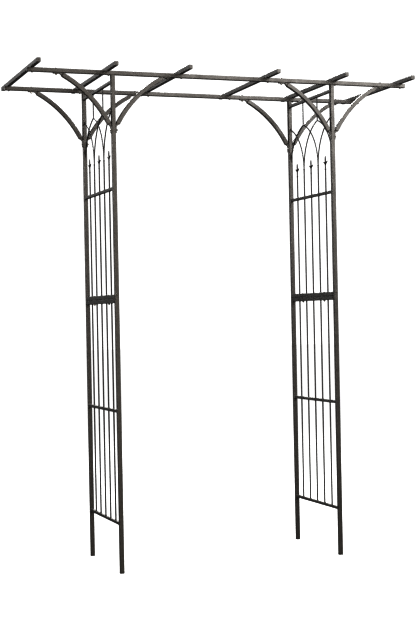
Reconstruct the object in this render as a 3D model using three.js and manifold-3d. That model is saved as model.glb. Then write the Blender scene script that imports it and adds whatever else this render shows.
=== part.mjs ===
// Metal trellis arch: two side trellises, two long rails and six rafters, all of square steel tube.
// Millimetres, +Z up, +X along the rails, +Y from the front posts to the back posts.
// The origin is on the ground, in the middle of the walkway.
import * as THREE from 'three';
import { mergeVertices } from 'three/addons/utils/BufferGeometryUtils.js';
import Module from 'manifold-3d';

const wasm = await Module();
wasm.setup();

// ---------------------------------------------------------------- driving dimensions
// Overall
const overallHeight = 2060;
const postSpacing = 980;          // left posts to right posts, centre to centre
const panelDepth = 456;           // front posts to back posts, centre to centre
const railLength = 1684;
const rafterOverhang = 120;       // rafter beyond the centre line of each rail

// Frame tube: posts, rails, rafters, braces and the two bars at the joint
const tubeSize = 17;
const tubeWall = 0.8;
const tubeCorner = 1.6;

// Trellis crossbars and rods
const barSize = 12;
const barWall = 0.8;
const barCorner = 1.2;
const rodDiameter = 6;
const tracerySize = 5;            // diameter of the bent rods of the pointed arches
const rodCount = 5;

// Heights above the ground, at centre lines
const bottomBarHeight = 200;
const middleBarHeight = 658;
const jointHeight = 1116;         // plane where the upper trellis stands on the lower one
const upperBarHeight = 1566;
const topBarHeight = 2001;
const archSpringHeight = 1691;
const archRadius = 212;
const archSpan = 2;               // rod pitches that one bent rod leans over
const finialHeight = 1668;        // foot of each spear finial

// Spear finial
const finialLength = 60;
const finialSpan = 43;            // across the two barbs
const finialThickness = 4;

// Rafters: a pair beside the posts, a pair in the middle and a pair near the rail ends
const middleRafterOffset = 194;
const outerRafterOffset = 822;

// Braces: bent tube, each end filled by a fitting that narrows to a flat strap
const braceRadius = 455;
const braceTopSlope = 28;         // degrees from level where the tube meets the rail
const braceFootSlope = 62;        // degrees from level where the tube meets the post
const braceFootGap = 3;           // air between the post and the corner of the tube end
const strapThickness = 3;
const strapWidth = 15;
const strapRun = 11;              // from the tube corner to where the strap lies flat
const strapLength = 26;           // flat part of the strap

// Inserts and fasteners
const fitClearance = 0.3;         // air round a sliding insert, and between faces that touch
const connectorWall = 1.2;
const postConnectorLength = 150;
const railConnectorLength = 120;
const capFlange = 3;
const capPlugLength = 18;
const boltDiameter = 5;
const boltHeadDiameter = 9;
const boltHeadHeight = 2.4;
const nutAcrossCorners = 9.2;
const nutHeight = 4;
const boltEnd = 1.5;              // thread past the nut
const boltHoleClearance = 0.4;
const screwDiameter = 4;
const screwHeadDiameter = 7.5;
const screwHeadHeight = 2.2;
const screwLength = 6;
const screwRise = 17;             // screw centre above the joint plane

// ---------------------------------------------------------------- sizes that follow
const halfTube = tubeSize / 2;
const tubeBore = tubeSize - 2 * tubeWall;
const insertSize = tubeBore - 2 * fitClearance;
const rafterCentre = overallHeight - halfTube;
const railTop = overallHeight - tubeSize - fitClearance;
const railBottom = railTop - tubeSize;
const railCentre = railTop - halfTube;
const postTop = railBottom - fitClearance;
const postBottom = capFlange + fitClearance;
const lowerPostTop = jointHeight - fitClearance / 2;
const upperPostBottom = jointHeight + fitClearance / 2;
const rodPitch = panelDepth / (rodCount + 1);
const barLength = panelDepth - tubeSize - 2 * fitClearance;
const archReach = archSpan * rodPitch;
const archRise = Math.sqrt(2 * archRadius * archReach - archReach ** 2);
const archApexHeight = archSpringHeight + archRise;
const postRafterOffset = postSpacing / 2 + tubeSize;
const rafterLength = panelDepth + 2 * rafterOverhang;

// ---------------------------------------------------------------- materials
const powderCoat = new THREE.MeshStandardMaterial({ color: 0x47443f, roughness: 0.5, metalness: 0.45 });
const rodCoat = new THREE.MeshStandardMaterial({ color: 0x2f2d2a, roughness: 0.5, metalness: 0.45 });
const boltSteel = new THREE.MeshStandardMaterial({ color: 0x3a3835, roughness: 0.4, metalness: 0.7 });
const bareSteel = new THREE.MeshStandardMaterial({ color: 0x8b8c8c, roughness: 0.4, metalness: 0.9 });
const blackPlastic = new THREE.MeshStandardMaterial({ color: 0x1c1b1a, roughness: 0.6, metalness: 0 });

// ---------------------------------------------------------------- solids
const radians = THREE.MathUtils.degToRad;
const ROD_SIDES = 8;
const BENT_ROD_STEPS = 3;         // an arc in an outline gets two sides for each step
const CORNER_STEPS = 1;
const DOME_SIDES = 8;
const ARCH_STEPS = 8;
const BRACE_STEPS = 7;

// A closed three.js geometry becomes a manifold solid.
function solidOf(geometry) {
  const bare = geometry.clone();
  for (const name of Object.keys(bare.attributes)) {
    if (name !== 'position') bare.deleteAttribute(name);
  }
  const merged = mergeVertices(bare, 1e-4);
  return new wasm.Manifold(new wasm.Mesh({
    numProp: 3,
    vertProperties: new Float32Array(merged.attributes.position.array),
    triVerts: new Uint32Array(merged.index.array),
  }));
}

function meshOf(name, solid, material) {
  const data = solid.getMesh();
  const geometry = new THREE.BufferGeometry();
  geometry.setAttribute('position', new THREE.BufferAttribute(data.vertProperties, 3));
  geometry.setIndex(new THREE.BufferAttribute(data.triVerts, 1));
  geometry.computeVertexNormals();
  const mesh = new THREE.Mesh(geometry, material);
  mesh.name = name;
  return mesh;
}

const join = (solids) => solids.reduce((all, solid) => all.add(solid));
const cut = (solid, tools) => tools.reduce((rest, tool) => rest.subtract(tool), solid);

// Square outline with rounded corners, centred on the origin.
function roundedSquare(Outline, size, corner) {
  const flat = size / 2 - corner;
  const outline = new Outline();
  outline.absarc(flat, flat, corner, 0, Math.PI / 2, false);
  outline.absarc(-flat, flat, corner, Math.PI / 2, Math.PI, false);
  outline.absarc(-flat, -flat, corner, Math.PI, 1.5 * Math.PI, false);
  outline.absarc(flat, -flat, corner, 1.5 * Math.PI, 2 * Math.PI, false);
  outline.closePath();
  return outline;
}

function squareOutline(Outline, size) {
  const half = size / 2;
  const corners = [[-half, -half], [half, -half], [half, half], [-half, half]];
  return new Outline(corners.map(([x, y]) => new THREE.Vector2(x, y)));
}

function tubeSection(size, wall, corner) {
  const section = roundedSquare(THREE.Shape, size, corner);
  section.holes.push(squareOutline(THREE.Path, size - 2 * wall));
  return section;
}

// Straight square tube standing on z = 0.
function squareTube(size, wall, corner, length) {
  return solidOf(new THREE.ExtrudeGeometry(tubeSection(size, wall, corner), {
    depth: length, bevelEnabled: false, curveSegments: CORNER_STEPS,
  }));
}

const frameTube = (length) => squareTube(tubeSize, tubeWall, tubeCorner, length);
const connectorTube = (length) => squareTube(insertSize, connectorWall, tubeCorner / 2, length);

function rod(diameter, length, sides = ROD_SIDES) {
  const geometry = new THREE.CylinderGeometry(diameter / 2, diameter / 2, length, sides);
  geometry.rotateX(Math.PI / 2);
  geometry.translate(0, 0, length / 2);
  return solidOf(geometry);
}

function block(sizeX, sizeY, sizeZ) {
  return solidOf(new THREE.BoxGeometry(sizeX, sizeY, sizeZ));
}

// Hole cutter for a bolt along Z, X or Y, centred on the origin.
function boltHole(length, diameter = boltDiameter) {
  return rod(diameter + 2 * boltHoleClearance, length).translate(0, 0, -length / 2);
}

// Circular arc in a vertical plane: points are given by their direction from a centre.
class PlaneArc extends THREE.Curve {
  constructor(centre, radius, startAngle, endAngle, plane) {
    super();
    Object.assign(this, { centre, radius, startAngle, endAngle, plane });
  }

  getPoint(t, target = new THREE.Vector3()) {
    const angle = this.startAngle + t * (this.endAngle - this.startAngle);
    const across = this.centre.x + this.radius * Math.cos(angle);
    const up = this.centre.y + this.radius * Math.sin(angle);
    return this.plane === 'xz' ? target.set(across, 0, up) : target.set(0, across, up);
  }
}

// ---------------------------------------------------------------- fasteners
// Dome bolt along Z: the grip starts at z = 0, the head is above it and the nut below.
function domeBolt(grip) {
  const domeRadius = boltHeadDiameter / 2;
  const profile = [[0, 0], [1, 0], [1, 0.3], [0.6, 0.85], [0, 1]]
    .map(([across, up]) => new THREE.Vector2(across * domeRadius, up * boltHeadHeight));
  const head = solidOf(new THREE.LatheGeometry(profile, DOME_SIDES).rotateX(Math.PI / 2));
  const shankLength = grip + nutHeight + boltEnd;
  const shank = rod(boltDiameter, shankLength + boltHeadHeight / 2).translate(0, 0, -shankLength);
  const nut = rod(nutAcrossCorners, nutHeight, 6).translate(0, 0, -grip - nutHeight);
  return join([head, shank, nut]);
}

function panScrew() {
  const head = rod(screwHeadDiameter, screwHeadHeight, DOME_SIDES);
  return head.add(rod(screwDiameter, screwLength + screwHeadHeight / 2).translate(0, 0, -screwLength));
}

// ---------------------------------------------------------------- posts
const braceBoltHeight = braceEnds().footBolt;

function lowerPost() {
  return frameTube(lowerPostTop - postBottom).translate(0, 0, postBottom);
}

function upperPost(outwardSign) {
  const post = frameTube(postTop - upperPostBottom).translate(0, 0, upperPostBottom);
  const braceHole = boltHole(2 * tubeSize).rotate([0, 90, 0]).translate(0, 0, braceBoltHeight);
  const screwHole = boltHole(tubeSize, screwDiameter).rotate([90, 0, 0])
    .translate(0, outwardSign * tubeSize / 2, jointHeight + screwRise);
  return cut(post, [braceHole, screwHole]);
}

function postConnector(outwardSign) {
  const connector = connectorTube(postConnectorLength)
    .translate(0, 0, jointHeight - postConnectorLength / 2);
  const screwHole = boltHole(tubeSize, screwDiameter).rotate([90, 0, 0])
    .translate(0, outwardSign * tubeSize / 2, jointHeight + screwRise);
  return connector.subtract(screwHole);
}

function footCap() {
  const flange = roundedSquare(THREE.Shape, tubeSize, tubeCorner);
  const plug = squareOutline(THREE.Shape, insertSize);
  const settings = { bevelEnabled: false, curveSegments: CORNER_STEPS };
  const plugDepth = capFlange + capPlugLength;
  const flangeSolid = solidOf(new THREE.ExtrudeGeometry(flange, { ...settings, depth: capFlange }));
  return flangeSolid.add(solidOf(new THREE.ExtrudeGeometry(plug, { ...settings, depth: plugDepth })));
}

// ---------------------------------------------------------------- trellis grilles
const panelHalfPitches = (rodCount + 1) / 2;
const archSprings = [-3, -1, 1, 3];     // in rod pitches from the middle of the panel
const rodOffsets = Array.from({ length: rodCount }, (_, i) => (i + 1) * rodPitch - panelDepth / 2);
const lowerJointBar = jointHeight - fitClearance / 2 - halfTube;
const upperJointBar = jointHeight + fitClearance / 2 + halfTube;
const jointBoltOffset = 1.5 * rodPitch;

function crossbar(size, wall, corner, height) {
  const bar = squareTube(size, wall, corner, barLength).translate(0, 0, -barLength / 2);
  return bar.rotate([90, 0, 0]).translate(0, 0, height);
}

const trellisBar = (height) => crossbar(barSize, barWall, barCorner, height);

function jointBar(height) {
  const bar = crossbar(tubeSize, tubeWall, tubeCorner, height);
  const holes = [-1, 1].map((end) => boltHole(2 * tubeSize).translate(0, end * jointBoltOffset, height));
  return cut(bar, holes);
}

// Rods are cut to fit between the bars and sink into their walls by the weld.
const weldDepth = barWall / 2;
const halfBar = barSize / 2;

function rodBetween(offset, low, high, diameter = rodDiameter) {
  return rod(diameter, high - low).translate(0, offset, low);
}

function rodRow(low, high) {
  return rodOffsets.map((offset) => rodBetween(offset, low - weldDepth, high + weldDepth));
}

function lowerGrille() {
  return join([
    trellisBar(bottomBarHeight),
    ...rodRow(bottomBarHeight + halfBar, middleBarHeight - halfBar),
    trellisBar(middleBarHeight),
    ...rodRow(middleBarHeight + halfBar, lowerJointBar - halfTube),
    jointBar(lowerJointBar),
  ]);
}

// Bent rod that leaves a rod at the springing line and leans over by the reach of one arch.
function archRod(offset, side) {
  const centre = new THREE.Vector2(offset + side * archRadius, archSpringHeight);
  const sweep = Math.asin(archRise / archRadius);
  const start = side > 0 ? Math.PI : 0;
  const path = new PlaneArc(centre, archRadius, start, start - side * sweep, 'yz');
  const section = new THREE.Shape();
  section.absarc(0, 0, tracerySize / 2, 0, 2 * Math.PI, false);
  return solidOf(new THREE.ExtrudeGeometry(section, {
    steps: ARCH_STEPS, curveSegments: BENT_ROD_STEPS, extrudePath: path,
  }));
}

function finial() {
  const half = finialSpan / 2;
  const neck = rodDiameter / 2;
  const side = [
    [neck, 0], [neck, 0.3], [0.32 * half, 0.42], [half, 0.62], [0.5 * half, 0.57],
    [0.22 * half, 0.56], [0.26 * half, 0.72], [0.2 * half, 0.86],
  ];
  const rightSide = side.map(([y, z]) => new THREE.Vector2(y, z * finialLength));
  const leftSide = rightSide.map((point) => new THREE.Vector2(-point.x, point.y)).reverse();
  const outline = new THREE.Shape([...rightSide, new THREE.Vector2(0, finialLength), ...leftSide]);
  const geometry = new THREE.ExtrudeGeometry(outline, { depth: finialThickness, bevelEnabled: false });
  geometry.translate(0, 0, -finialThickness / 2);
  geometry.rotateX(Math.PI / 2).rotateZ(Math.PI / 2);
  return solidOf(geometry);
}

function upperGrille() {
  const bars = [jointBar(upperJointBar), trellisBar(upperBarHeight), trellisBar(topBarHeight)];
  const lowerRods = rodRow(upperJointBar + halfTube, upperBarHeight - halfBar);
  const upperRods = rodOffsets.map((offset, i) => {
    const low = upperBarHeight + halfBar - weldDepth;
    const carriesFinial = i % 2 === 0;
    if (!carriesFinial) return rodBetween(offset, low, archSpringHeight + tracerySize);
    return rodBetween(offset, low, finialHeight + 2).add(finial().translate(0, offset, finialHeight));
  });
  const arches = archSprings.flatMap((spring) => [-1, 1]
    .filter((side) => Math.abs(spring + side * archSpan) <= panelHalfPitches)
    .map((side) => archRod(spring * rodPitch, side)));
  const hangerFoot = archApexHeight - tracerySize / 2;
  const hangerTop = topBarHeight - halfBar + weldDepth;
  const hangers = [-1, 1].map((n) => rodBetween(n * rodPitch, hangerFoot, hangerTop, tracerySize));
  const betweenPosts = block(4 * tubeSize, barLength, overallHeight).translate(0, 0, overallHeight / 2);
  return join([...bars, ...lowerRods, ...upperRods, ...arches, ...hangers]).intersect(betweenPosts);
}

// ---------------------------------------------------------------- braces
// Local frame of a brace: x is the distance from the post's centre line, z is the height.
function braceEnds() {
  const top = radians(braceTopSlope);
  const foot = radians(braceFootSlope);
  const footX = tubeSize / 2 + braceFootGap + tubeSize / 2 * Math.sin(foot);
  const topZ = overallHeight - 2 * tubeSize - 2 * fitClearance - tubeSize / 2 * Math.cos(top);
  const centreX = footX + braceRadius * Math.sin(foot);
  const centreZ = topZ - braceRadius * Math.cos(top);
  const topX = centreX - braceRadius * Math.sin(top);
  const footZ = centreZ + braceRadius * Math.cos(foot);
  const under = tubeSize / 2 - strapThickness / 2;
  return {
    centre: new THREE.Vector2(centreX, centreZ),
    top: new THREE.Vector2(topX, topZ),
    foot: new THREE.Vector2(footX, footZ),
    topBolt: topX + under * Math.sin(top) + strapRun + strapLength / 2,
    footBolt: footZ - under * Math.cos(foot) - strapRun - strapLength / 2,
  };
}

// Fitting in a tube end: it fills the bore, narrows to the strap and lies flat on the face.
function endFitting(end, slope, flat, faceLevel) {
  const under = new THREE.Vector2(Math.sin(slope), -Math.cos(slope));
  const corner = end.clone().addScaledVector(under, halfTube - strapThickness / 2);
  const onRail = flat.x > 0;
  const landing = onRail ? new THREE.Vector2(corner.x + strapRun, faceLevel)
    : new THREE.Vector2(faceLevel, corner.y - strapRun);
  const root = block(1, strapWidth, tubeBore).rotate([0, -THREE.MathUtils.radToDeg(slope), 0])
    .translate(end.x, 0, end.y);
  const strap = onRail ? block(1, strapWidth, strapThickness) : block(strapThickness, strapWidth, 1);
  const neck = wasm.Manifold.hull([root, strap.translate(landing.x, 0, landing.y)]);
  const flatPart = onRail ? block(strapLength, strapWidth, strapThickness)
    : block(strapThickness, strapWidth, strapLength);
  const middle = landing.clone().addScaledVector(flat, strapLength / 2);
  return neck.add(flatPart.translate(middle.x, 0, middle.y));
}

function brace() {
  const { centre, top, foot, topBolt, footBolt } = braceEnds();
  const startAngle = Math.PI / 2 + radians(braceTopSlope);
  const endAngle = Math.PI / 2 + radians(braceFootSlope);
  const path = new PlaneArc(centre, braceRadius, startAngle, endAngle, 'xz');
  const tube = solidOf(new THREE.ExtrudeGeometry(tubeSection(tubeSize, tubeWall, tubeCorner), {
    steps: BRACE_STEPS, curveSegments: CORNER_STEPS, extrudePath: path,
  }));
  const away = new THREE.Vector2(1, 0);
  const down = new THREE.Vector2(0, -1);
  const railFace = railBottom - fitClearance - strapThickness / 2;
  const postFace = halfTube + fitClearance + strapThickness / 2;
  const topStrap = endFitting(top, radians(braceTopSlope), away, railFace);
  const footStrap = endFitting(foot, radians(braceFootSlope), down, postFace);
  const topHole = boltHole(tubeSize).translate(topBolt, 0, railFace);
  const footHole = boltHole(tubeSize).rotate([0, 90, 0]).translate(postFace, 0, footBolt);
  return cut(join([tube, topStrap, footStrap]), [topHole, footHole]);
}

// ---------------------------------------------------------------- rails and rafters
// Right half of a rail, from the splice outwards along +X.
function railHalf() {
  const length = (railLength - fitClearance) / 2;
  const tube = frameTube(length).translate(0, 0, fitClearance / 2).rotate([0, 90, 0]);
  const boltReach = braceEnds().topBolt;
  const holes = [-1, 1].map((side) => boltHole(2 * tubeSize)
    .translate(postSpacing / 2 + side * boltReach, 0, 0));
  return cut(tube, holes);
}

function rafter() {
  return frameTube(rafterLength).translate(0, 0, -rafterLength / 2).rotate([90, 0, 0]);
}

// ---------------------------------------------------------------- assembly
const arch = new THREE.Group();

function place(parent, name, solid, material, x = 0, y = 0, z = 0, turn = 0) {
  const mesh = meshOf(name, solid, material);
  mesh.position.set(x, y, z);
  mesh.rotation.z = turn;
  parent.add(mesh);
  return mesh;
}

const sides = [{ side: 'left', sx: -1 }, { side: 'right', sx: 1 }];
const rows = [{ row: 'front', sy: -1 }, { row: 'back', sy: 1 }];
const braceSolid = brace();
const { topBolt: braceBoltReach } = braceEnds();
const strapStack = strapThickness + fitClearance;

// Corner: post in two lengths, its connector, cap and screw, and the two braces at its head.
function corner(side, sx, row, sy) {
  const group = new THREE.Group();
  group.position.set(sx * postSpacing / 2, sy * panelDepth / 2, 0);
  const name = `${row}_${side}`;
  place(group, `${name}_lower_post`, lowerPost(), powderCoat);
  place(group, `${name}_upper_post`, upperPost(sy), powderCoat);
  place(group, `${name}_post_connector`, postConnector(sy), bareSteel);
  place(group, `${name}_foot_cap`, footCap(), blackPlastic);
  const screw = place(group, `${name}_post_screw`, panScrew(), boltSteel,
    0, sy * (halfTube + fitClearance), jointHeight + screwRise);
  screw.rotation.x = -sy * Math.PI / 2;
  const footBolt = place(group, `${name}_brace_foot_bolt`,
    domeBolt(tubeSize + 2 * strapStack + 2 * fitClearance), boltSteel,
    -(halfTube + strapStack + fitClearance), 0, braceBoltHeight);
  footBolt.rotation.y = -Math.PI / 2;
  const facings = [{ label: 'inner', turn: sx > 0 ? Math.PI : 0 },
    { label: 'outer', turn: sx > 0 ? 0 : Math.PI }];
  for (const { label, turn } of facings) {
    place(group, `${name}_${label}_brace`, braceSolid, powderCoat, 0, 0, 0, turn);
    const reach = Math.cos(turn) * braceBoltReach;
    place(group, `${name}_${label}_brace_bolt`,
      domeBolt(tubeSize + strapStack + 2 * fitClearance), boltSteel, reach, 0, railTop + fitClearance);
  }
  return group;
}

for (const { side, sx } of sides) {
  for (const { row, sy } of rows) arch.add(corner(side, sx, row, sy));
  const trellis = new THREE.Group();
  trellis.position.x = sx * postSpacing / 2;
  place(trellis, `${side}_lower_grille`, lowerGrille(), rodCoat);
  place(trellis, `${side}_upper_grille`, upperGrille(), rodCoat);
  for (const { row, sy } of rows) {
    place(trellis, `${side}_${row}_bar_bolt`, domeBolt(2 * tubeSize + 3 * fitClearance), boltSteel,
      0, sy * jointBoltOffset, jointHeight + tubeSize + 1.5 * fitClearance);
  }
  arch.add(trellis);
}

for (const { row, sy } of rows) {
  const rail = new THREE.Group();
  rail.position.set(0, sy * panelDepth / 2, railCentre);
  for (const { side, sx } of sides) {
    place(rail, `${row}_rail_${side}`, railHalf(), powderCoat, 0, 0, 0, sx > 0 ? 0 : Math.PI);
  }
  const connector = connectorTube(railConnectorLength)
    .translate(0, 0, -railConnectorLength / 2).rotate([0, 90, 0]);
  place(rail, `${row}_rail_connector`, connector, bareSteel);
  arch.add(rail);
}

const rafterOffsets = [-outerRafterOffset, -postRafterOffset, -middleRafterOffset,
  middleRafterOffset, postRafterOffset, outerRafterOffset];
rafterOffsets.forEach((x, i) => place(arch, `rafter_${i + 1}`, rafter(), powderCoat, x, 0, rafterCentre));

export default arch;
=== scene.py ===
from math import acos, atan2, cos, pi, radians, sin, sqrt
from random import Random

import bmesh
import bpy
from mathutils import Matrix, Vector


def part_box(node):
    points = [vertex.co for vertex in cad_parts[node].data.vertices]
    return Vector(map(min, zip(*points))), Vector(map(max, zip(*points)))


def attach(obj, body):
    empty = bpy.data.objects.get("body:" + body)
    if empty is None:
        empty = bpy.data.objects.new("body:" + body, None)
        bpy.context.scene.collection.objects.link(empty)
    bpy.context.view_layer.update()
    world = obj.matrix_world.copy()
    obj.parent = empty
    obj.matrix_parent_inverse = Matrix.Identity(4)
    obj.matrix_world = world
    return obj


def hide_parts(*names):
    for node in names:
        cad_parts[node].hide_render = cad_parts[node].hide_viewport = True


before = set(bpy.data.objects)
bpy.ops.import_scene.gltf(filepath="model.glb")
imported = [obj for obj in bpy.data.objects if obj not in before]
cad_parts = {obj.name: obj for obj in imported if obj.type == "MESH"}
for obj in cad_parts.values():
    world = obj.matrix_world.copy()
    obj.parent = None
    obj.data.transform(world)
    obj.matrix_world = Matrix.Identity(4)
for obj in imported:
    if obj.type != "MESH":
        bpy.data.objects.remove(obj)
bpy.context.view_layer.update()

# A garden arch of coated steel tube. Lengths are in metres: +X runs along the rails, +Y from the front
# posts to the back ones, and +Z up from the ground.

# ---------------------------------------------------------------- camera
CAMERA_PLACE = (-2.023, -5.530, 1.029)
CAMERA_YAW, CAMERA_PITCH, CAMERA_ROLL = -20.05, 0.14, -1.13
CAMERA_LENS = 77.4
SENSOR_WIDTH = 36

camera_data = bpy.data.cameras.new("camera")
camera_data.lens = CAMERA_LENS
camera_data.sensor_width = SENSOR_WIDTH
camera = bpy.data.objects.new("camera", camera_data)
camera.matrix_world = (Matrix.Translation(CAMERA_PLACE)
                       @ Matrix.Rotation(radians(CAMERA_YAW), 4, "Z")
                       @ Matrix.Rotation(radians(90 + CAMERA_PITCH), 4, "X")
                       @ Matrix.Rotation(radians(CAMERA_ROLL), 4, "Z"))
bpy.context.scene.collection.objects.link(camera)
bpy.context.scene.camera = camera

# ---------------------------------------------------------------- the arch's own sizes
TUBE, TUBE_WALL, TUBE_CORNER = 0.017, 0.001, 0.0020
BAR, BAR_WALL, BAR_CORNER = 0.012, 0.001, 0.0016
ROD, TRACERY = 0.006, 0.005
ROD_COUNT = 5

BOTTOM_BAR, MIDDLE_BAR, JOINT = 0.200, 0.658, 1.116
UPPER_BAR, TOP_BAR = 1.566, 2.001
ARCH_SPRING, ARCH_RADIUS, ARCH_SPAN = 1.691, 0.212, 2
FINIAL_FOOT, FINIAL_LENGTH, FINIAL_SPAN = 1.668, 0.060, 0.043

BRACE_RADIUS = 0.455
BRACE_TOP_SLOPE, BRACE_FOOT_SLOPE = radians(28), radians(62)
BRACE_FOOT_GAP = 0.003
STRAP, STRAP_WIDTH, STRAP_RUN, STRAP_FLAT = 0.003, 0.015, 0.011, 0.026
PLUG_DEPTH, PLUG_LEAD, PLUG_WAIST = 0.008, 0.006, 0.0035
AIR = 0.0003

FOOT_CAP, FOOT_CAP_RIM = 0.0030, 0.0006
SCREW_HEAD, SCREW_HEAD_HEIGHT, SCREW_SOCKET = 0.00375, 0.0022, 0.0013
WASHER = 0.0006
ROD_SINK = 0.0005

X, Y, Z = Vector((1, 0, 0)), Vector((0, 1, 0)), Vector((0, 0, 1))
ROUND_SIDES = 16
CORNER_CUTS = 4
BRACE_STEPS, ARCH_STEPS = 22, 24
SHARP_ANGLE = radians(35)
dice = Random(7)


# ---------------------------------------------------------------- finishes
class Finish:
    """A node material that reads object coordinates."""

    def __init__(self, name, **sockets):
        self.material = bpy.data.materials.new(name)
        self.material.use_nodes = True
        self.nodes = self.material.node_tree.nodes
        self.links = self.material.node_tree.links
        self.skin = self.nodes["Principled BSDF"]
        for socket, value in sockets.items():
            self.skin.inputs[socket.replace("_", " ")].default_value = value
        self.place = self.add("ShaderNodeTexCoord").outputs["Object"]

    def add(self, kind, inputs=None, **settings):
        node = self.nodes.new(kind)
        for key, value in settings.items():
            setattr(node, key, value)
        for key, value in (inputs or {}).items():
            if isinstance(value, bpy.types.NodeSocket):
                self.links.new(value, node.inputs[key])
            else:
                node.inputs[key].default_value = value
        return node

    def stretched(self, scale):
        return self.add("ShaderNodeMapping", {"Vector": self.place, "Scale": scale}).outputs[0]

    def noise(self, scale, detail=3.0, roughness=0.55, vector=None):
        inputs = {"Vector": vector or self.place, "Scale": scale, "Detail": detail, "Roughness": roughness}
        return self.add("ShaderNodeTexNoise", inputs).outputs[0]

    def spread(self, value, low, high, start=0.0, end=1.0):
        inputs = {"Value": value, "From Min": low, "From Max": high, "To Min": start, "To Max": end}
        return self.add("ShaderNodeMapRange", inputs).outputs[0]

    def times(self, a, b):
        return self.add("ShaderNodeMath", {0: a, 1: b}, operation="MULTIPLY").outputs[0]

    def mix(self, factor, a, b, blend="MIX"):
        node = self.add("ShaderNodeMix", data_type="RGBA", blend_type=blend)
        for index, value in ((0, factor), (6, a), (7, b)):
            if isinstance(value, bpy.types.NodeSocket):
                self.links.new(value, node.inputs[index])
            else:
                node.inputs[index].default_value = value
        return node.outputs[2]

    def facing_up(self):
        normal = self.add("ShaderNodeNewGeometry").outputs["Normal"]
        height = self.add("ShaderNodeSeparateXYZ", {0: normal}).outputs[2]
        return self.spread(height, 0.35, 0.95)

    def edges(self, low, high):
        bend = self.add("ShaderNodeNewGeometry").outputs["Pointiness"]
        return self.spread(bend, low, high)

    def dress(self, colour, roughness=None, bumps=()):
        """Joins the colour, the roughness and the bumps (height, strength, depth) to the skin."""
        self.links.new(colour, self.skin.inputs["Base Color"])
        if roughness is not None:
            self.links.new(roughness, self.skin.inputs["Roughness"])
        last = None
        for height, strength, depth in bumps:
            inputs = {"Height": height, "Strength": strength, "Distance": depth}
            if last is not None:
                inputs["Normal"] = last
            last = self.add("ShaderNodeBump", inputs).outputs[0]
        if last is not None:
            self.links.new(last, self.skin.inputs["Normal"])


def grey(red, green=None, blue=None):
    return (red, red if green is None else green, red if blue is None else blue, 1.0)


def powder_coat(name, body, light, dust):
    """Satin bronze powder coat: orange peel, cloudy tone, rain streaks, dust on top, and edges lightened
    partly as rubbed wear, partly as a painted edge highlight.
    """
    coat = Finish(name, Metallic=0.30, Coat_Weight=0.12, Coat_Roughness=0.32)
    clouds = coat.spread(coat.noise(7.0, 4.0), 0.34, 0.68)
    streaks = coat.spread(coat.noise(1.0, 3.0, 0.6, coat.stretched((160, 160, 4))), 0.45, 0.75)
    fleck = coat.spread(coat.noise(1500.0, 1.0), 0.35, 0.70)
    colour = coat.mix(clouds, body, light)
    colour = coat.mix(coat.times(streaks, 0.10), colour, grey(*[0.72 * c for c in body[:3]]))
    colour = coat.mix(coat.times(fleck, 0.10), colour, light)
    dusty = coat.times(coat.facing_up(), coat.spread(coat.noise(38.0, 4.0), 0.30, 0.72, 0.25, 0.85))
    colour = coat.mix(dusty, colour, dust)
    # Painted edge highlight: the curved edges are lightened a little, partly standing for rubbed wear.
    edge_wear_and_highlight = coat.times(coat.edges(0.515, 0.56), coat.spread(coat.noise(60.0, 3.0), 0.45, 0.65))
    colour = coat.mix(coat.times(edge_wear_and_highlight, 0.16), colour, grey(*[1.9 * c for c in light[:3]]))
    rough = coat.spread(coat.noise(21.0, 4.0), 0.3, 0.7, 0.40, 0.56)
    rough = coat.add("ShaderNodeMath", {0: rough, 1: coat.times(dusty, 0.25)}, operation="ADD").outputs[0]
    orange_peel = coat.noise(620.0, 2.0)
    waves = coat.noise(55.0, 2.0)
    coat.dress(colour, rough, [(orange_peel, 0.12, 0.0002), (waves, 0.05, 0.0006)])
    return coat.material


def blackened_steel():
    """Bolts and screws: mottled black, with edges lightened partly as rubbed wear, partly as a painted edge
    highlight.
    """
    steel = Finish("bolt_steel_finish", Metallic=0.9)
    tone = steel.spread(steel.noise(240.0, 4.0), 0.35, 0.7)
    colour = steel.mix(tone, grey(0.060, 0.056, 0.052), grey(0.135, 0.126, 0.115))
    # Painted edge highlight: the curved edges turn a lighter grey, partly standing for rubbed wear.
    edge_wear_and_highlight = steel.times(steel.edges(0.52, 0.60), 0.6)
    colour = steel.mix(edge_wear_and_highlight, colour, grey(0.34, 0.33, 0.31))
    rough = steel.spread(steel.noise(520.0, 3.0), 0.3, 0.7, 0.28, 0.50)
    steel.dress(colour, rough, [(steel.noise(1400.0, 2.0), 0.15, 0.0001)])
    return steel.material


def zinc_plate():
    """The hidden connectors: bright zinc crystals with a drawn grain."""
    zinc = Finish("zinc_steel_finish", Metallic=1.0)
    cells = zinc.add("ShaderNodeTexVoronoi", {"Vector": zinc.place, "Scale": 140.0}).outputs["Color"]
    tone = zinc.add("ShaderNodeSeparateColor", {0: cells}).outputs[0]
    colour = zinc.mix(tone, grey(0.46, 0.47, 0.48), grey(0.66, 0.67, 0.67))
    rough = zinc.spread(tone, 0.0, 1.0, 0.26, 0.44)
    grain = zinc.noise(1.0, 2.0, 0.5, zinc.stretched((2600, 2600, 60)))
    zinc.dress(colour, rough, [(grain, 0.12, 0.0001)])
    return zinc.material


def moulded_plastic():
    """Foot caps: matte black plastic with a little soil on it."""
    plastic = Finish("black_plastic_finish")
    soiled = plastic.times(plastic.spread(plastic.noise(90.0, 4.0), 0.4, 0.75), 0.5)
    colour = plastic.mix(soiled, grey(0.014, 0.014, 0.013), grey(0.060, 0.056, 0.050))
    rough = plastic.spread(plastic.noise(300.0, 3.0), 0.3, 0.7, 0.48, 0.66)
    plastic.dress(colour, rough, [(plastic.noise(2200.0, 2.0), 0.25, 0.0001)])
    return plastic.material


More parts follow.
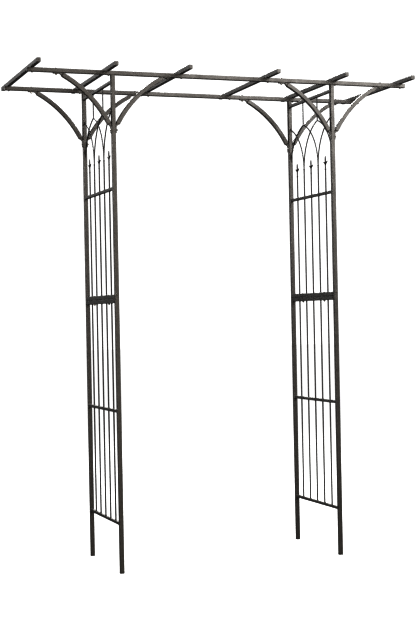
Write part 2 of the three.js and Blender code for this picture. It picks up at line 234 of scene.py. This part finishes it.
def pale_floor():
    """Pale floor that brightens into the white backdrop a few steps away from the arch."""
    floor = Finish("pale_floor", Roughness=0.85, Emission_Color=grey(1.0))
    floor.dress(floor.mix(floor.noise(1.3, 3.0), grey(0.19), grey(0.21)))
    distance = floor.add("ShaderNodeVectorMath", {0: floor.place}, operation="LENGTH").outputs["Value"]
    floor.links.new(floor.spread(distance, 1.0, 6.0, 0.84, 1.0), floor.skin.inputs["Emission Strength"])
    return floor.material


frame_coat = powder_coat("frame_coat_finish", grey(0.0660, 0.0636, 0.0609), grey(0.0745, 0.0718, 0.0688),
                         grey(0.170, 0.163, 0.153))
# Painted shade: the rods get a much darker copy of the same powder coat, so they read as shaded.
shaded_rod_coat = powder_coat("rod_coat_finish", grey(0.0120, 0.0115, 0.0109), grey(0.0170, 0.0163, 0.0155),
                       grey(0.050, 0.048, 0.045))
bolt_steel = blackened_steel()
zinc_steel = zinc_plate()
black_plastic = moulded_plastic()


# ---------------------------------------------------------------- shaping tools
def add_to(whole, part, place=None):
    """Adds a finished part to a larger mesh, moved to its place."""
    if place is not None:
        bmesh.ops.transform(part, matrix=place, verts=part.verts)
    carrier = bpy.data.meshes.new("carrier")
    part.to_mesh(carrier)
    part.free()
    whole.from_mesh(carrier)
    bpy.data.meshes.remove(carrier)
    return whole


def at(x=0.0, y=0.0, z=0.0):
    return Matrix.Translation((x, y, z))


def turned(degrees, axis):
    return Matrix.Rotation(radians(degrees), 4, axis)


def swollen(factor):
    """Scales a section across Z."""
    return Matrix.Diagonal((factor, factor, 1, 1))


def along(direction):
    """Turns +Z to the direction."""
    return Vector(direction).to_track_quat("Z", "Y").to_matrix().to_4x4()


def new_verts(made):
    return [item for item in made["geom"] if isinstance(item, bmesh.types.BMVert)]


def new_face(made):
    return next(item for item in made["geom"] if isinstance(item, bmesh.types.BMFace))


def rounded_face(bm, size, corner):
    """A square face on z = 0 with rounded corners."""
    made = bmesh.ops.create_grid(bm, x_segments=1, y_segments=1, size=size / 2)
    bmesh.ops.bevel(bm, geom=made["verts"], offset=corner, offset_type="OFFSET", segments=CORNER_CUTS,
                    profile=0.5, affect="VERTICES", material=-1)
    return max(bm.faces, key=lambda face: face.calc_area())


def push(bm, face, matrix):
    """Extrudes one face and moves the new one by the matrix."""
    made = bmesh.ops.extrude_face_region(bm, geom=[face])
    bmesh.ops.transform(bm, matrix=matrix, verts=new_verts(made))
    return new_face(made)


def hollow(bm, face, wall, matrix):
    """Opens a tube end: a rim of the wall's thickness and a bore that runs in by the matrix."""
    bmesh.ops.inset_region(bm, faces=[face], thickness=wall, use_even_offset=True)
    rim = list(face.edges)
    push(bm, face, matrix)
    return rim


def outward(bm):
    bmesh.ops.recalc_face_normals(bm, faces=bm.faces)
    return bm


def soften(bm, edges, width, segments=2):
    bmesh.ops.bevel(bm, geom=list(edges), offset=width, offset_type="OFFSET", segments=segments,
                    profile=0.5, affect="EDGES", material=-1, clamp_overlap=True)


def square_tube(length, size=TUBE, wall=TUBE_WALL, corner=TUBE_CORNER, bore=0.04):
    """Cut square tube along +Z from z = 0, both ends open, with slightly rounded cut edges."""
    bm = bmesh.new()
    foot = rounded_face(bm, size, corner)
    head = push(bm, foot, at(z=length))
    foot = next(face for face in bm.faces if len(face.verts) > 4 and face is not head)
    rims = [edge for face in (foot, head) for edge in face.edges]
    depth = min(bore, 0.4 * length)
    rims += hollow(bm, foot, wall, at(z=depth))
    rims += hollow(bm, head, wall, at(z=-depth))
    soften(bm, set(edge for edge in rims if edge.is_valid), 0.15 * wall, 1)
    return outward(bm)


def round_rod(length, radius):
    """Round rod along +Z from z = 0."""
    bm = bmesh.new()
    bmesh.ops.create_cone(bm, cap_ends=True, segments=ROUND_SIDES, radius1=radius, radius2=radius,
                          depth=length, matrix=at(z=length / 2))
    return bm


def spun(profile, sides):
    """Skin turned about Z from (radius, height) points."""
    bm = bmesh.new()
    verts = [bm.verts.new((radius, 0, height)) for radius, height in profile]
    edges = [bm.edges.new(pair) for pair in zip(verts, verts[1:])]
    bmesh.ops.spin(bm, geom=verts + edges, cent=(0, 0, 0), axis=(0, 0, 1), angle=2 * pi,
                   steps=sides, use_merge=True)
    bmesh.ops.remove_doubles(bm, verts=bm.verts, dist=1e-6)
    return bm


def turned_shape(profile, sides):
    """Solid of revolution, whose profile is closed or runs from axis to axis."""
    return outward(spun(profile, sides))


def weld_bead(radius, height=0.0019, spread=0.0016, sides=12):
    """Small uneven fillet round a rod that stands on z = 0."""
    bm = turned_shape([(0, -0.0004), (radius + spread, -0.0004), (radius + 0.6 * spread, 0.4 * height),
                       (radius + 0.2 * spread, 0.8 * height), (0, height)], sides)
    for vert in bm.verts:
        reach = Vector((vert.co.x, vert.co.y)).length
        if reach > radius:
            swell = 1 + dice.uniform(-0.07, 0.10)
            vert.co.x *= swell
            vert.co.y *= swell
    return bm


def weld_collar(size, corner, height=0.0020, spread=0.0017):
    """Fillet round the end of a square bar that meets z = 0."""
    bm = bmesh.new()
    foot = rounded_face(bm, size + 2 * spread, corner + spread)
    squeeze = (size + 0.6 * spread) / (size + 2 * spread)
    middle = push(bm, foot, swollen(squeeze) @ at(z=0.45 * height))
    push(bm, middle, swollen(0.97) @ at(z=0.55 * height))
    for vert in bm.verts:
        swell = 1 + dice.uniform(-0.025, 0.03)
        vert.co.x *= swell
        vert.co.y *= swell
    return outward(bm)


# ---------------------------------------------------------------- fasteners
def socket_dome(radius, height, socket):
    """Button head above z = 0 with a hexagonal socket."""
    bm = spun([(radius * 0.97, 0), (radius, 0.16 * height), (0.95 * radius, 0.42 * height),
               (0.80 * radius, 0.74 * height), (0.62 * radius, 0.93 * height), (1.25 * socket, height)], 24)
    rim = [edge for edge in bm.edges if edge.is_boundary and edge.verts[0].co.z > 0.9 * height]
    made = bmesh.ops.extrude_edge_only(bm, edges=rim)
    ring = new_verts(made)
    for vert in ring:
        sector = (atan2(vert.co.y, vert.co.x) + pi / 6) % (pi / 3) - pi / 6
        reach = socket * cos(pi / 6) / cos(sector)
        vert.co = Vector((vert.co.x, vert.co.y, 0)).normalized() * reach + Z * height
    made = bmesh.ops.extrude_edge_only(bm, edges=[item for item in made["geom"]
                                                  if isinstance(item, bmesh.types.BMEdge)])
    bmesh.ops.translate(bm, vec=(0, 0, -0.55 * height), verts=new_verts(made))
    bmesh.ops.holes_fill(bm, edges=bm.edges, sides=0)
    return outward(bm)


def washer(radius, bore, thickness=WASHER):
    eased = radius - 0.0003
    return turned_shape([(bore, 0), (eased, 0), (radius, 0.3 * thickness), (radius, 0.7 * thickness),
                         (eased, thickness), (bore, thickness), (bore, 0)], 24)


def hex_nut(radius, height):
    """Nut above z = 0 with its corners turned down."""
    bm = bmesh.new()
    bmesh.ops.create_cone(bm, cap_ends=True, segments=6, radius1=radius, radius2=radius, depth=height,
                          matrix=at(z=height / 2))
    caps = [edge for edge in bm.edges if abs(edge.verts[0].co.z - edge.verts[1].co.z) < 1e-6]
    soften(bm, caps, 0.09 * radius, 2)
    return bm


def thread_end(radius, length, pitch=0.0008):
    """Threaded stub above z = 0."""
    turns, root = max(2, round(length / pitch)), 0.86 * radius
    profile = [(0, 0)]
    for turn in range(turns):
        profile += [(radius, turn * pitch), (root, (turn + 0.5) * pitch)]
    tip = turns * pitch + 0.0004
    profile += [(root, turns * pitch), (0.6 * radius, tip), (0, tip)]
    return turned_shape(profile, 14)


def through_bolt(grip, radius=0.0025, head=0.0045, head_height=0.0019, nut=0.0046, nut_height=0.0034,
                 stub=0.0016):
    """Button bolt along Z: it clamps from z = 0 down to z = -grip, with a nut and stub below."""
    bm = bmesh.new()
    add_to(bm, washer(head + 0.0008, radius))
    add_to(bm, socket_dome(head, head_height, 0.4 * head), at(z=WASHER))
    add_to(bm, round_rod(grip, radius), at(z=-grip))
    down = at(z=-grip) @ turned(180, "X")
    add_to(bm, washer(nut + 0.0006, radius), down)
    add_to(bm, hex_nut(nut, nut_height), down @ at(z=WASHER) @ turned(dice.uniform(0, 60), "Z"))
    add_to(bm, thread_end(radius, stub), down @ at(z=WASHER + nut_height))
    return bm


def end_plug():
    """Push-in plug at a tube end on z = 0: crowned flange above, ribbed shank inside."""
    bm = bmesh.new()
    face = rounded_face(bm, TUBE - 0.0002, TUBE_CORNER)
    face = push(bm, face, at(z=0.0007))
    for shrink, rise in ((0.94, 0.00045), (0.80, 0.00030), (0.50, 0.00020)):
        face = push(bm, face, swollen(shrink) @ at(z=rise))
    outward(bm)
    shank = bmesh.new()
    face = rounded_face(shank, TUBE - 2 * TUBE_WALL - 0.0008, TUBE_CORNER / 2)
    rib, half_pitch = 1.06, 0.0010
    for step in range(4):
        for factor in (rib, 1 / rib):
            face = push(shank, face, at(z=-half_pitch))
            face = push(shank, face, swollen(factor))
    return add_to(bm, outward(shank))


def foot_rim():
    """Flared rim of a foot cap, from the ground up to the tube's end."""
    bm = bmesh.new()
    face = rounded_face(bm, TUBE, TUBE_CORNER)
    face = push(bm, face, swollen(1.03) @ at(z=FOOT_CAP_RIM))
    push(bm, face, swollen(0.985) @ at(z=FOOT_CAP - FOOT_CAP_RIM))
    return outward(bm)


# ---------------------------------------------------------------- pieces
def finished(name, bm, material, nodes=()):
    """Turns a mesh into a named piece that rides on the frame and stands for its CAD nodes."""
    mesh = bpy.data.meshes.new(name)
    bm.to_mesh(mesh)
    bm.free()
    mesh.materials.append(material)
    mesh.polygons.foreach_set("use_smooth", [True] * len(mesh.polygons))
    mesh.set_sharp_from_angle(angle=SHARP_ANGLE)
    piece = bpy.data.objects.new(name, mesh)
    bpy.context.scene.collection.objects.link(piece)
    even = piece.modifiers.new("even_shading", "WEIGHTED_NORMAL")
    even.keep_sharp = True
    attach(piece, "root")
    if nodes:
        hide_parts(*nodes)


def middle_of(node):
    low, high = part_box(node)
    return (low + high) / 2


SIDES = (("left", -1), ("right", 1))
ROWS = (("front", -1), ("back", 1))
post_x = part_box("front_right_lower_post")[1].x - TUBE / 2
post_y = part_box("back_left_lower_post")[1].y - TUBE / 2
rail_low, rail_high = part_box("front_rail_left")
rail_bottom, rail_top = rail_low.z, rail_high.z
rail_centre = (rail_bottom + rail_top) / 2
rafter_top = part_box("rafter_1")[1].z
rod_pitch = 2 * post_y / (ROD_COUNT + 1)
arch_reach = ARCH_SPAN * rod_pitch
arch_apex = ARCH_SPRING + sqrt(2 * ARCH_RADIUS * arch_reach - arch_reach ** 2)
lower_joint_bar = JOINT - AIR / 2 - TUBE / 2
upper_joint_bar = JOINT + AIR / 2 + TUBE / 2


# ---------------------------------------------------------------- braces
def brace_centre():
    """Centre of a brace's arc in the brace's own plane: x runs away from the post, z is the height."""
    top, foot, half = BRACE_TOP_SLOPE, BRACE_FOOT_SLOPE, TUBE / 2
    foot_x = half + BRACE_FOOT_GAP + half * sin(foot)
    top_z = rail_bottom - AIR - half * cos(top)
    return Vector((foot_x + BRACE_RADIUS * sin(foot), 0, top_z - BRACE_RADIUS * cos(top)))


def swung(centre, angle, axis):
    """Turns about an axis that passes through the centre."""
    return at(*centre) @ Matrix.Rotation(angle, 4, axis) @ at(*(-centre))


def end_fitting(end, slope, flat, level):
    """Fitting in a brace's tube end: it leaves the bore, narrows to a strap and lies flat at the level."""
    heading = Vector((cos(slope), 0, sin(slope))) * (1 if flat.x > 0 else -1)
    corner = end + Vector((sin(slope), 0, -cos(slope))) * (TUBE - STRAP) / 2
    landing = (Vector((corner.x + STRAP_RUN, 0, level)) if flat.x > 0
               else Vector((level, 0, corner.z - STRAP_RUN)))
    control = end + heading * PLUG_LEAD
    bore = TUBE - 2 * TUBE_WALL - 0.0001
    stations = [(end - heading * PLUG_DEPTH, heading, bore, bore)]
    for t in (0.0, 0.17, 0.33, 0.5, 0.67, 0.83, 1.0):
        ease = t * t * (3 - 2 * t)
        centre = end * (1 - t) ** 2 + control * (2 * t * (1 - t)) + landing * t ** 2
        stations.append((centre, heading.lerp(flat, ease).normalized(), bore + (STRAP - bore) * ease,
                         bore + (STRAP_WIDTH - bore) * ease - PLUG_WAIST * sin(pi * t)))
    for back, width in ((0.003, 1.0), (0.001, 0.92), (0.0, 0.76)):
        stations.append((landing + flat * (STRAP_FLAT - back), flat, STRAP, STRAP_WIDTH * width))
    bm = bmesh.new()
    face = rounded_face(bm, 1.0, 0.08)
    last = Matrix()
    for centre, direction, thickness, width in stations:
        pose = Matrix((direction.cross(Y) * thickness, Y * width, direction)).transposed().to_4x4()
        pose.translation = centre
        face = push(bm, face, pose @ last.inverted())
        last = pose
    start = next(f for f in bm.faces if len(f.verts) > 4 and f is not face and f.calc_area() > 0.1)
    bmesh.ops.delete(bm, geom=list(start.verts), context="VERTS")
    bmesh.ops.holes_fill(bm, edges=bm.edges, sides=0)
    return outward(bm)


def brace():
    """Bent tube with a fitting in each end, in the brace's own plane."""
    centre = brace_centre()
    start = pi / 2 + BRACE_TOP_SLOPE
    sweep = BRACE_FOOT_SLOPE - BRACE_TOP_SLOPE
    radial = Vector((cos(start), 0, sin(start)))
    tangent = Vector((-sin(start), 0, cos(start)))
    top = centre + radial * BRACE_RADIUS
    frame_at_top = Matrix((radial, Y, tangent)).transposed().to_4x4()
    bm = bmesh.new()
    face = rounded_face(bm, TUBE, TUBE_CORNER)
    bmesh.ops.transform(bm, matrix=at(*top) @ frame_at_top, verts=bm.verts)
    turn = swung(centre, -sweep / BRACE_STEPS, "Y")
    for step in range(BRACE_STEPS):
        face = push(bm, face, turn)
    first = next(f for f in bm.faces if len(f.verts) > 4 and (f.calc_center_median() - top).length < 0.001)
    bore = 2.2 * sweep / BRACE_STEPS
    rims = hollow(bm, first, TUBE_WALL, swung(centre, -bore, "Y"))
    rims += hollow(bm, face, TUBE_WALL, swung(centre, bore, "Y"))
    soften(bm, set(edge for edge in rims if edge.is_valid), 0.15 * TUBE_WALL, 1)
    outward(bm)
    foot = swung(centre, -sweep, "Y") @ top
    rail_face = rail_bottom - AIR - STRAP / 2
    post_face = TUBE / 2 + AIR + STRAP / 2
    add_to(bm, end_fitting(top, BRACE_TOP_SLOPE, X, rail_face))
    add_to(bm, end_fitting(foot, BRACE_FOOT_SLOPE, -Z, post_face))
    return bm


# ---------------------------------------------------------------- trellis panels
def across_bar(height, size, wall, corner):
    """Crossbar between two posts, with its weld at each end."""
    bm = bmesh.new()
    reach = post_y - TUBE / 2 - AIR
    add_to(bm, square_tube(2 * reach, size, wall, corner), at(y=reach, z=height) @ turned(90, "X"))
    for side in (-1, 1):
        collar = weld_collar(size, corner)
        add_to(bm, collar, at(y=side * (reach + AIR), z=height) @ turned(90 * side, "X"))
    return bm


def standing_rod(offset, low, high, diameter=ROD, beads=(True, True)):
    """Rod between two heights, with weld beads where it meets the bars."""
    bm = round_rod(high - low + 2 * ROD_SINK, diameter / 2)
    bmesh.ops.translate(bm, vec=(0, offset, low - ROD_SINK), verts=bm.verts)
    if beads[0]:
        add_to(bm, weld_bead(diameter / 2), at(y=offset, z=low))
    if beads[1]:
        add_to(bm, weld_bead(diameter / 2), at(y=offset, z=high) @ turned(180, "X"))
    return bm


def rod_row(low, high):
    """All the rods of one bay between two heights."""
    bm = bmesh.new()
    for number in range(1, ROD_COUNT + 1):
        add_to(bm, standing_rod(number * rod_pitch - post_y, low, high))
    return bm


def tracery_arch(spring, lean):
    """Bent rod that leaves an upright at the springing line and leans over by the arch's span."""
    sweep = acos((ARCH_RADIUS - arch_reach) / ARCH_RADIUS)
    centre = Vector((0, spring * rod_pitch + lean * ARCH_RADIUS, ARCH_SPRING))
    bm = bmesh.new()
    bmesh.ops.create_circle(bm, cap_ends=True, radius=TRACERY / 2, segments=12)
    bmesh.ops.translate(bm, vec=(0, spring * rod_pitch, ARCH_SPRING), verts=bm.verts)
    turn = swung(centre, -lean * sweep / ARCH_STEPS, "X")
    face = bm.faces[:][0]
    for step in range(ARCH_STEPS):
        face = push(bm, face, turn)
    inside = post_y - TUBE / 2
    for side in (-1, 1):
        cut = bmesh.ops.bisect_plane(bm, geom=bm.verts[:] + bm.edges[:] + bm.faces[:], dist=1e-7,
                                     plane_co=(0, side * inside, 0), plane_no=(0, side, 0),
                                     clear_outer=True)
        rim = [item for item in cut["geom_cut"] if isinstance(item, bmesh.types.BMEdge)]
        if rim:
            bmesh.ops.holes_fill(bm, edges=rim, sides=0)
    return outward(bm)


def spear_finial():
    """Flat cast spear with two upswept barbs, foot at z = 0, crowned on both faces."""
    half, blade = FINIAL_SPAN / 2, 0.0018
    side = [(0.0026, 0.0), (0.0024, 0.20), (0.0030, 0.34), (0.0065, 0.42), (0.62 * half, 0.49),
            (half, 0.63), (0.60 * half, 0.575), (0.34 * half, 0.555), (0.0036, 0.60),
            (0.0042, 0.74), (0.0034, 0.86), (0.0018, 0.95)]
    outline = [Vector((0, across, up * FINIAL_LENGTH)) for across, up in side]
    mirrored = [Vector((0, -point.y, point.z)) for point in reversed(outline)]
    bm = bmesh.new()
    face = bm.faces.new([bm.verts.new(point) for point in
                         [*outline, Vector((0, 0, FINIAL_LENGTH)), *mirrored]])
    bmesh.ops.translate(bm, vec=(-blade / 2, 0, 0), verts=bm.verts)
    front = push(bm, face, at(x=blade))
    back = next(f for f in bm.faces if len(f.verts) > 4 and f is not front)
    outward(bm)
    for flat in (front, back):
        bmesh.ops.inset_region(bm, faces=[flat], thickness=0.0008, depth=0.0011, use_even_offset=True)
    knob = bmesh.new()
    bmesh.ops.create_uvsphere(knob, u_segments=12, v_segments=8, radius=0.0040,
                              matrix=at(z=0.002) @ Matrix.Diagonal((1, 1, 0.85, 1)))
    for vert in knob.verts:
        vert.co += Vector((dice.uniform(-1, 1), dice.uniform(-1, 1), dice.uniform(-1, 1))) * 0.00018
    return add_to(bm, knob)


def crossbars(*bars):
    """The crossbars of one panel."""
    bm = bmesh.new()
    for height, size, wall, corner in bars:
        add_to(bm, across_bar(height, size, wall, corner))
    return bm


def lower_rods():
    """Rods of the lower panel, above and below its middle crossbar."""
    bm = rod_row(BOTTOM_BAR + BAR / 2, MIDDLE_BAR - BAR / 2)
    return add_to(bm, rod_row(MIDDLE_BAR + BAR / 2, lower_joint_bar - TUBE / 2))


def upper_rods():
    """Rods of the upper panel, with the finials, the crossing arches and the two hangers."""
    bm = rod_row(upper_joint_bar + TUBE / 2, UPPER_BAR - BAR / 2)
    for number in range(1, ROD_COUNT + 1):
        offset = number * rod_pitch - post_y
        low = UPPER_BAR + BAR / 2
        if number % 2:
            add_to(bm, standing_rod(offset, low, FINIAL_FOOT + 0.35 * FINIAL_LENGTH, beads=(True, False)))
            add_to(bm, spear_finial(), at(y=offset, z=FINIAL_FOOT))
        else:
            add_to(bm, standing_rod(offset, low, ARCH_SPRING + 0.004))
    for spring in (-3, -1, 1, 3):
        for lean in (-1, 1):
            if abs(spring + lean * ARCH_SPAN) <= (ROD_COUNT + 1) / 2:
                add_to(bm, tracery_arch(spring, lean))
    for side in (-1, 1):
        offset = side * rod_pitch
        add_to(bm, standing_rod(offset, arch_apex - TRACERY / 2, TOP_BAR - BAR / 2, TRACERY))
        wall = side * (post_y - TUBE / 2)
        add_to(bm, weld_bead(TRACERY / 2), at(y=wall, z=arch_apex) @ along((0, -side, -0.2)))
    return bm


# Each crossbar's height, size, wall and corner.
BAR_TUBE, JOINT_TUBE = (BAR, BAR_WALL, BAR_CORNER), (TUBE, TUBE_WALL, TUBE_CORNER)
lower_bars = (BOTTOM_BAR, *BAR_TUBE), (MIDDLE_BAR, *BAR_TUBE), (lower_joint_bar, *JOINT_TUBE)
upper_bars = (upper_joint_bar, *JOINT_TUBE), (UPPER_BAR, *BAR_TUBE), (TOP_BAR, *BAR_TUBE)


# ---------------------------------------------------------------- assembly
for side, sx in SIDES:
    for row, sy in ROWS:
        corner = f"{row}_{side}"
        x, y = sx * post_x, sy * post_y
        for level in ("lower", "upper"):
            low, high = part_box(f"{corner}_{level}_post")
            leg = add_to(bmesh.new(), square_tube(high.z - low.z), at(x, y, low.z))
            finished(f"{corner}_{level}_leg", leg, frame_coat, [f"{corner}_{level}_post"])
        cap = add_to(bmesh.new(), end_plug(), at(x, y, FOOT_CAP) @ turned(180, "X"))
        add_to(cap, foot_rim(), at(x, y, 0))
        finished(f"{corner}_foot_plug", cap, black_plastic, [f"{corner}_foot_cap"])

        screw_z = middle_of(f"{corner}_post_screw").z
        screw = add_to(bmesh.new(), socket_dome(SCREW_HEAD, SCREW_HEAD_HEIGHT, SCREW_SOCKET),
                       at(x, y + sy * TUBE / 2, screw_z) @ along((0, sy, 0)))
        finished(f"{corner}_joint_screw", screw, bolt_steel, [f"{corner}_post_screw"])

        bolt_z = middle_of(f"{corner}_brace_foot_bolt").z
        stack = TUBE + 2 * (STRAP + AIR)
        bolt = add_to(bmesh.new(), through_bolt(stack + 2 * AIR),
                      at(x - stack / 2 - AIR, y, bolt_z) @ along((-1, 0, 0)))
        finished(f"{corner}_foot_bolt", bolt, bolt_steel, [f"{corner}_brace_foot_bolt"])

        for label, facing in (("inner", -sx), ("outer", sx)):
            place = at(x, y, 0) @ turned(0 if facing > 0 else 180, "Z")
            finished(f"{corner}_{label}_bracket", add_to(bmesh.new(), brace(), place),
                     frame_coat, [f"{corner}_{label}_brace"])
            spot = middle_of(f"{corner}_{label}_brace_bolt")
            bolt = add_to(bmesh.new(), through_bolt(TUBE + STRAP + 3 * AIR), at(spot.x, y, rail_top + AIR))
            finished(f"{corner}_{label}_top_bolt", bolt, bolt_steel,
                     [f"{corner}_{label}_brace_bolt"])

    panels = (("lower", lower_rods(), lower_bars), ("upper", upper_rods(), upper_bars))
    for level, rods, bars in panels:
        finished(f"{side}_{level}_rods", add_to(bmesh.new(), rods, at(sx * post_x)),
                 shaded_rod_coat, [f"{side}_{level}_grille"])
        finished(f"{side}_{level}_crossbars", add_to(bmesh.new(), crossbars(*bars), at(sx * post_x)),
                 frame_coat)
    for row, sy in ROWS:
        node = f"{side}_{row}_bar_bolt"
        spot = middle_of(node)
        bolt = add_to(bmesh.new(), through_bolt(2 * TUBE + 3 * AIR),
                      at(sx * post_x, spot.y, JOINT + TUBE + 1.5 * AIR))
        finished(f"{side}_{row}_panel_bolt", bolt, bolt_steel, [node])

for row, sy in ROWS:
    for side, sx in SIDES:
        low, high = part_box(f"{row}_rail_{side}")
        tube = add_to(bmesh.new(), square_tube(high.x - low.x),
                      at(low.x, sy * post_y, rail_centre) @ turned(90, "Y"))
        finished(f"{row}_{side}_beam", tube, frame_coat, [f"{row}_rail_{side}"])
        end = low.x if sx < 0 else high.x
        plug = add_to(bmesh.new(), end_plug(), at(end, sy * post_y, rail_centre) @ along((sx, 0, 0)))
        finished(f"{row}_{side}_beam_plug", plug, frame_coat)

for number in range(1, 7):
    node = f"rafter_{number}"
    low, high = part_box(node)
    x, z = (low.x + high.x) / 2, (low.z + high.z) / 2
    tube = add_to(bmesh.new(), square_tube(high.y - low.y), at(x, high.y, z) @ turned(90, "X"))
    finished(f"cross_bar_{number}", tube, frame_coat, [node])
    for row, sy in ROWS:
        end = low.y if sy < 0 else high.y
        plug = add_to(bmesh.new(), end_plug(), at(x, end, z) @ along((0, sy, 0)))
        finished(f"cross_bar_{number}_{row}_plug", plug, frame_coat)
        bolt = add_to(bmesh.new(), through_bolt(rafter_top - rail_bottom, nut_height=0.0014, stub=0.0008),
                      at(x, sy * post_y, rafter_top))
        finished(f"cross_bar_{number}_{row}_bolt", bolt, bolt_steel)

# The connectors inside the tubes stay as they are in the frame, in bright zinc.
for name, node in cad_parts.items():
    if name.endswith("_connector"):
        for slot in node.material_slots:
            slot.material = zinc_steel

# ---------------------------------------------------------------- stage and light
def staged(name, bm, material, *unseen_by):
    """Puts a plain piece of the studio on the stage, hidden from the kinds of ray that are named."""
    mesh = bpy.data.meshes.new(name)
    bm.to_mesh(mesh)
    bm.free()
    mesh.materials.append(material)
    prop = bpy.data.objects.new(name, mesh)
    bpy.context.scene.collection.objects.link(prop)
    for ray in unseen_by:
        setattr(prop, f"visible_{ray}", False)


floor_sheet = bmesh.new()
bmesh.ops.create_grid(floor_sheet, x_segments=1, y_segments=1, size=40)
staged("floor", floor_sheet, pale_floor(), "diffuse", "glossy")

# Only the camera sees the white dome.
white = Finish("white_backdrop", Emission_Color=grey(1.0), Emission_Strength=1.0).material
dome = bmesh.new()
bmesh.ops.create_uvsphere(dome, u_segments=32, v_segments=16, radius=60)
staged("backdrop", dome, white, "diffuse", "glossy", "transmission", "volume_scatter", "shadow")


def soft_light(name, place, target, size, power, colour=(1.0, 1.0, 1.0), spread=180):
    lamp = bpy.data.lights.new(name, "AREA")
    lamp.shape = "DISK"
    lamp.size = size
    lamp.energy = power
    lamp.color = colour
    lamp.spread = radians(spread)
    holder = bpy.data.objects.new(name, lamp)
    holder.location = place
    holder.rotation_mode = "QUATERNION"
    holder.rotation_quaternion = (Vector(target) - Vector(place)).to_track_quat("-Z", "Y")
    bpy.context.scene.collection.objects.link(holder)


soft_light("key_light", (2.3, -3.6, 3.5), (0.2, 0, 1.6), 3.4, 400, (1.0, 0.985, 0.965))
soft_light("fill_light", (-1.3, -4.4, 0.8), (0, 0, 0.7), 2.4, 190, (1.0, 0.91, 0.80))
soft_light("roof_light", (-4.2, 0.3, 3.9), (-0.2, 0, 2.05), 1.2, 90, (0.96, 0.98, 1.0), 60)
soft_light("rim_light", (1.5, 4.5, 4.0), (0, 0, 1.3), 2.5, 420)

world = bpy.data.worlds.new("studio")
world.use_nodes = True
sky = world.node_tree.nodes["Background"]
sky.inputs["Color"].default_value = grey(1.0)
sky.inputs["Strength"].default_value = 0.26
bpy.context.scene.world = world
bpy.context.scene.view_settings.view_transform = "Standard"
bpy.context.scene.view_settings.gamma = 0.5
